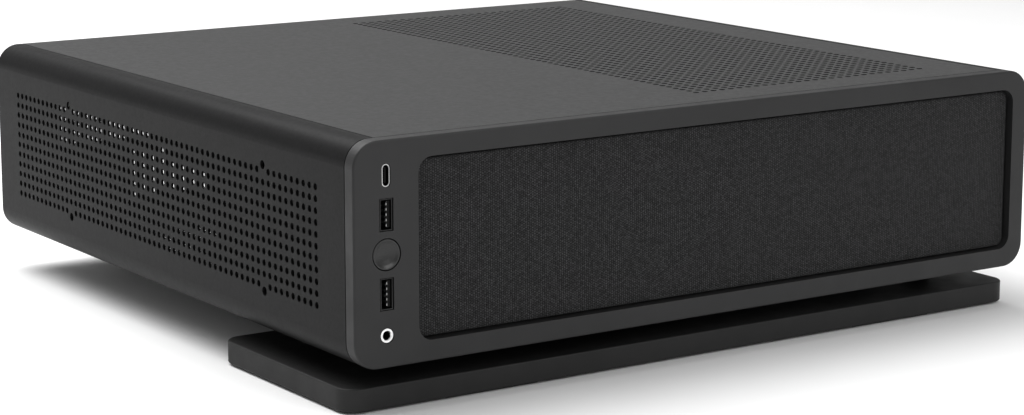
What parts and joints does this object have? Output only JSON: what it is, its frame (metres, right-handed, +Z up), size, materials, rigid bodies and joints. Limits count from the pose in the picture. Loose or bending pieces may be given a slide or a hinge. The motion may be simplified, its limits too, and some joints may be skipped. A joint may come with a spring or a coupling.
{
  "type": "mini pc",
  "caption": "Flat console-style mini PC with perforated metal shells, a cloth front insert, a front port column and power button, fans, boards and power supply inside, on a low stand plate",
  "frame": {"origin": "centre of the bounding box in X and Y, on the surface it stands on", "axes": "+X to the right seen from the front, +Y to the rear, +Z up"},
  "size_m": [0.374, 0.355, 0.1155],
  "materials": {
    "shell_coat": "satin",
    "bezel_plastic": "satin",
    "chassis_steel": "matte",
    "stand_plastic": "matte",
    "cloth": "woven",
    "black_plastic": "matte",
    "fan_plastic": "matte",
    "circuit_board": "solder mask",
    "port_metal": "plated",
    "fin_metal": "mill",
    "bare_steel": "satin",
    "standoff_brass": "turned",
    "pad_rubber": "matte",
    "cable_jacket": "matte",
    "drive_case": "satin"
  },
  "bodies": {
    "case": {"audio_jack": "port_metal", "board_fixings": "standoff_brass", "board_power_cable": "cable_jacket", "board_sockets": "black_plastic", "board_tray": "chassis_steel", "bottom_panel": "shell_coat", "card_power_cable": "cable_jacket", "case_fan_frame_front": "fan_plastic", "case_fan_frame_rear": "fan_plastic", "cpu_fan_frame": "fan_plastic", "cpu_heatsink": "fin_metal", "cross_beam": "chassis_steel", "drive": "drive_case", "drive_bracket": "chassis_steel", "fan_rails": "chassis_steel", "front_bezel": "bezel_plastic", "front_port_board": "circuit_board", "front_port_cable": "cable_jacket", "front_wall": "chassis_steel", "graphics_backplate": "chassis_steel", "graphics_board": "circuit_board", "graphics_bracket": "bare_steel", "graphics_heatsink": "fin_metal", "graphics_shroud": "black_plastic", "inlet_lead": "cable_jacket", "io_shield": "bare_steel", "lead_plug": "black_plastic", "left_shell": "shell_coat", "m2_drive": "circuit_board", "memory_modules": "circuit_board", "mid_wall": "chassis_steel", "motherboard": "circuit_board", "psu_board": "circuit_board", "psu_case": "chassis_steel", "psu_inlet": "black_plastic", "rear_feet": "stand_plastic", "rear_inlet": "black_plastic", "rear_ports": "port_metal", "rear_thumbscrews": "bare_steel", "rear_wall": "chassis_steel", "regulator_heatsink": "fin_metal", "right_shell": "shell_coat", "riser_card": "black_plastic", "rubber_pads": "pad_rubber", "stand_fixings": "bare_steel", "stand_plate": "stand_plastic", "usb_a_port_lower": "port_metal", "usb_a_port_upper": "port_metal", "usb_c_port": "port_metal"},
    "button": {"power_button": "black_plastic"},
    "insert": {"fabric_carrier": "black_plastic", "front_fabric": "cloth"},
    "lid": {"top_panel": "shell_coat"},
    "rocker": {"psu_rocker": "black_plastic"},
    "case_fan_front_spinner": {"case_fan_rotor_front": "fan_plastic"},
    "case_fan_rear_spinner": {"case_fan_rotor_rear": "fan_plastic"},
    "cpu_fan_spinner": {"cpu_fan_rotor": "fan_plastic"},
    "graphics_fan_front_spinner": {"graphics_fan_rotor_front": "fan_plastic"},
    "graphics_fan_rear_spinner": {"graphics_fan_rotor_rear": "fan_plastic"},
    "psu_fan_spinner": {"psu_fan_rotor": "fan_plastic"}
  },
  "joints": [
    {"name": "button_press", "type": "slide", "parent": "case", "child": "button", "axis": [0, 1, 0], "range_m": [0, 0.0012], "stiffness_N_per_m": 300, "springref_m": -0.0012},
    {"name": "insert_pull", "type": "slide", "parent": "case", "child": "insert", "axis": [0, -1, 0], "range_m": [0, 0.04]},
    {"name": "lid_lift", "type": "slide", "parent": "case", "child": "lid", "axis": [0, 0, 1], "range_m": [0, 0.06]},
    {"name": "rocker_tip", "type": "hinge", "parent": "case", "child": "rocker", "pos_m": [-0.06, -0.014, 0.04], "axis": [1, 0, 0], "range_deg": [-16, 0]},
    {"name": "case_fan_front_spin", "type": "hinge", "parent": "case", "child": "case_fan_front_spinner", "pos_m": [0.078, -0.0672, 0.107], "axis": [0, 0, 1], "continuous": true},
    {"name": "case_fan_rear_spin", "type": "hinge", "parent": "case", "child": "case_fan_rear_spinner", "pos_m": [0.078, 0.0732, 0.107], "axis": [0, 0, 1], "continuous": true},
    {"name": "cpu_fan_spin", "type": "hinge", "parent": "case", "child": "cpu_fan_spinner", "pos_m": [-0.07, 0.1, 0.061], "axis": [0, 0, 1], "continuous": true},
    {"name": "graphics_fan_front_spin", "type": "hinge", "parent": "case", "child": "graphics_fan_front_spinner", "pos_m": [0.076, -0.02, 0.08], "axis": [0, 0, 1], "continuous": true},
    {"name": "graphics_fan_rear_spin", "type": "hinge", "parent": "case", "child": "graphics_fan_rear_spinner", "pos_m": [0.076, 0.092, 0.08], "axis": [0, 0, 1], "continuous": true},
    {"name": "psu_fan_spin", "type": "hinge", "parent": "case", "child": "psu_fan_spinner", "pos_m": [-0.0995, -0.067, 0.029], "axis": [0, 0, 1], "continuous": true}
  ]
}
